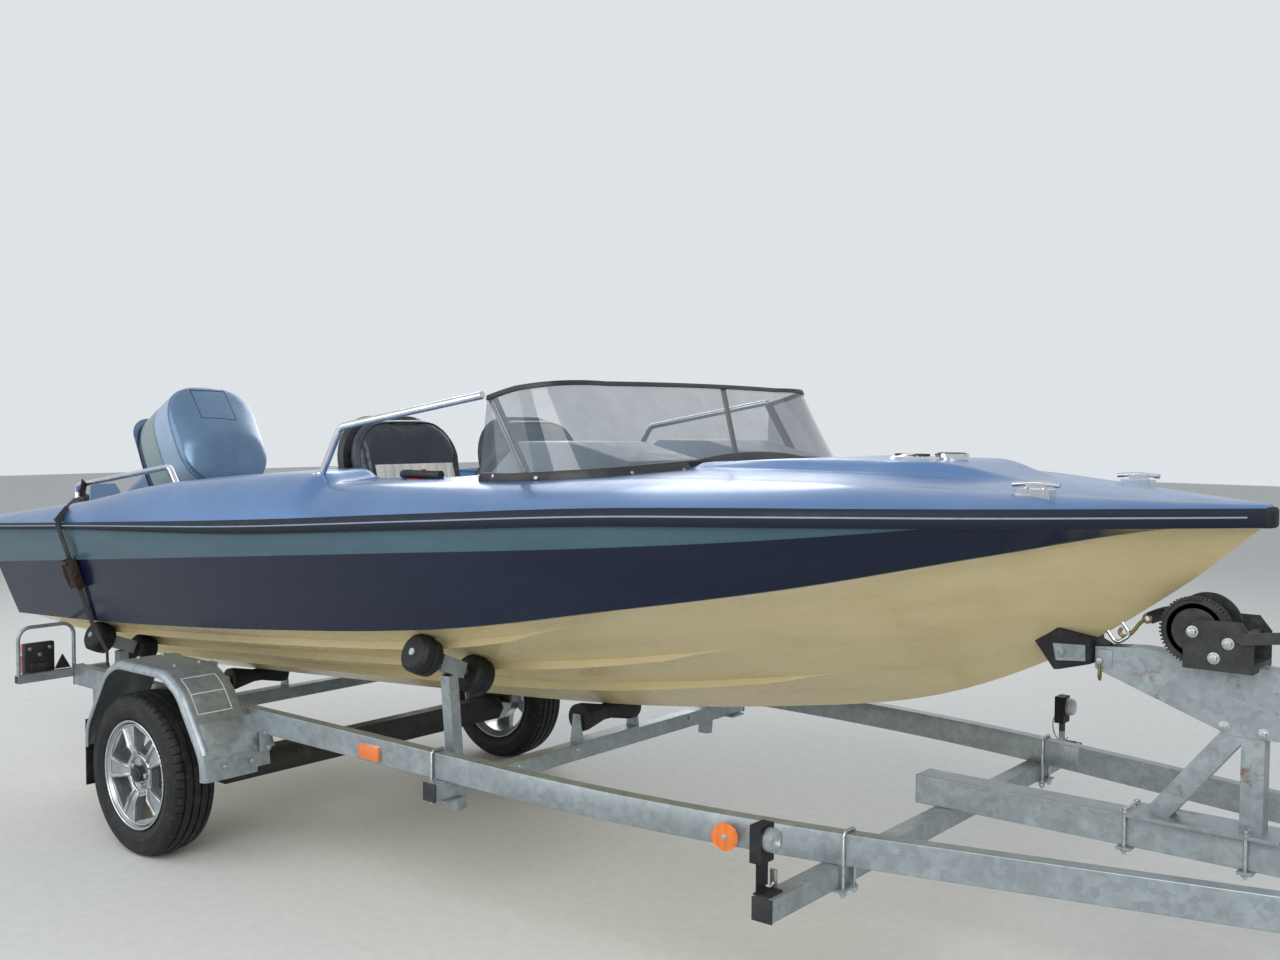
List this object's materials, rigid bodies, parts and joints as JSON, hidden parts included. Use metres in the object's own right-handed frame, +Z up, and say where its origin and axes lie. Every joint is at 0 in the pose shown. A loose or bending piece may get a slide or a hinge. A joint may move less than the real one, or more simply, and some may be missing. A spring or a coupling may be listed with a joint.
{
  "type": "speedboat on roller trailer",
  "caption": "Open outboard speedboat with two seats, rear bench, windscreen and tilted engine, standing on a galvanised single-axle roller trailer with winch and jockey wheel.",
  "frame": {"origin": "below the middle of the whole object's box, on the ground the wheels stand on", "axes": "+X to the bow and coupling, +Y to port, +Z up"},
  "size_m": [7.2914, 1.86, 1.5984],
  "materials": {
    "deck_gelcoat": "gloss",
    "hull_gelcoat": "gloss",
    "liner_gelcoat": "satin",
    "rub_strip": "matte",
    "zinc_steel": "spangled",
    "black_paint": "satin",
    "roller_rubber": "matte",
    "tyre_rubber": "matte",
    "alloy": "satin",
    "webbing": "woven",
    "vinyl": "satin",
    "screen_acrylic": "clear",
    "black_trim": "satin",
    "clear_lens": "clear",
    "red_lens": "gloss",
    "stainless": "polished",
    "engine_blue": "gloss",
    "engine_paint": "satin",
    "cast_block": "matte"
  },
  "bodies": {
    "boat_on_trailer": {"hull": "hull_gelcoat", "deck": "deck_gelcoat", "cockpit_liner": "liner_gelcoat", "rub_rail": "rub_strip", "axle": "black_paint", "main_rails": "zinc_steel", "cross_members": "zinc_steel", "centre_beam": "zinc_steel", "coupling_head": "zinc_steel", "coupling_handle": "black_paint", "mudguards": "zinc_steel", "mud_flaps": "roller_rubber", "bilge_posts": "zinc_steel", "bilge_rollers": "roller_rubber", "keel_roller_frames": "zinc_steel", "keel_rollers": "roller_rubber", "winch_stand": "zinc_steel", "bow_stop": "roller_rubber", "winch_frame": "black_paint", "winch_drum": "black_paint", "winch_crank": "zinc_steel", "winch_strap": "webbing", "front_lamp_brackets": "roller_rubber", "front_lamps": "clear_lens", "rear_lamp_frames": "zinc_steel", "rear_lamps": "red_lens", "jockey_clamp": "zinc_steel", "jockey_tube": "zinc_steel", "engine_clamp": "engine_paint", "seat_shells": "black_trim", "seat_cushions": "vinyl", "bench_cushions": "vinyl", "windscreen": "screen_acrylic", "windscreen_frame": "black_trim", "handrails": "stainless", "dash_pods": "black_trim", "dash_panel": "black_trim", "bow_cleats": "stainless", "deck_vents": "stainless", "bow_eye": "stainless", "throttle_control": "black_trim", "tie_down_straps": "webbing"},
    "wheel_left": {"wheel_left_tyre": "tyre_rubber", "wheel_left_rim": "alloy"},
    "wheel_right": {"wheel_right_tyre": "tyre_rubber", "wheel_right_rim": "alloy"},
    "engine_swivel": {"engine_swivel": "engine_paint"},
    "engine_steered": {"engine_leg": "engine_paint", "engine_powerhead": "cast_block", "engine_cowl": "engine_blue"},
    "propeller": {"propeller": "black_paint"},
    "steering_wheel": {"steering_wheel": "black_trim"},
    "jockey_stem": {"jockey_stem": "zinc_steel"},
    "jockey_fork": {"jockey_fork": "zinc_steel"},
    "jockey_wheel": {"jockey_wheel": "roller_rubber"}
  },
  "joints": [
    {"name": "wheel_left_spin", "type": "hinge", "parent": "boat_on_trailer", "child": "wheel_left", "pos_m": [-1.5643, 0.8395, 0.2735], "axis": [0, 1, 0], "continuous": true},
    {"name": "wheel_right_spin", "type": "hinge", "parent": "boat_on_trailer", "child": "wheel_right", "pos_m": [-1.5643, -0.8395, 0.2735], "axis": [0, 1, 0], "continuous": true},
    {"name": "engine_tilt", "type": "hinge", "parent": "boat_on_trailer", "child": "engine_swivel", "pos_m": [-2.7783, 0, 1], "axis": [0, 1, 0], "range_deg": [-66, 8]},
    {"name": "engine_steer", "type": "hinge", "parent": "engine_swivel", "child": "engine_steered", "pos_m": [-2.82337, 0, 1.08476], "axis": [0.8829, 0, 0.4695], "range_deg": [-30, 30]},
    {"name": "propeller_spin", "type": "hinge", "parent": "engine_steered", "child": "propeller", "pos_m": [-3.46715, 0, 0.88969], "axis": [0.4695, 0, -0.8829], "continuous": true},
    {"name": "steering_wheel_turn", "type": "hinge", "parent": "boat_on_trailer", "child": "steering_wheel", "pos_m": [-0.4143, -0.325, 1.232], "axis": [-0.9397, 0, 0.342], "range_deg": [-540, 540]},
    {"name": "jockey_slide", "type": "slide", "parent": "boat_on_trailer", "child": "jockey_stem", "axis": [0, 0, 1], "range_m": [-0.05, 0.155]},
    {"name": "jockey_swivel", "type": "hinge", "parent": "jockey_stem", "child": "jockey_fork", "pos_m": [3.1757, 0.086, 0.236], "axis": [0, 0, 1], "continuous": true},
    {"name": "jockey_wheel_spin", "type": "hinge", "parent": "jockey_fork", "child": "jockey_wheel", "pos_m": [3.1207, 0.086, 0.1], "axis": [0, 1, 0], "continuous": true}
  ],
  "couplings": [
    {"joint": "steering_wheel_turn", "follows": "engine_steer", "ratio": 18}
  ]
}
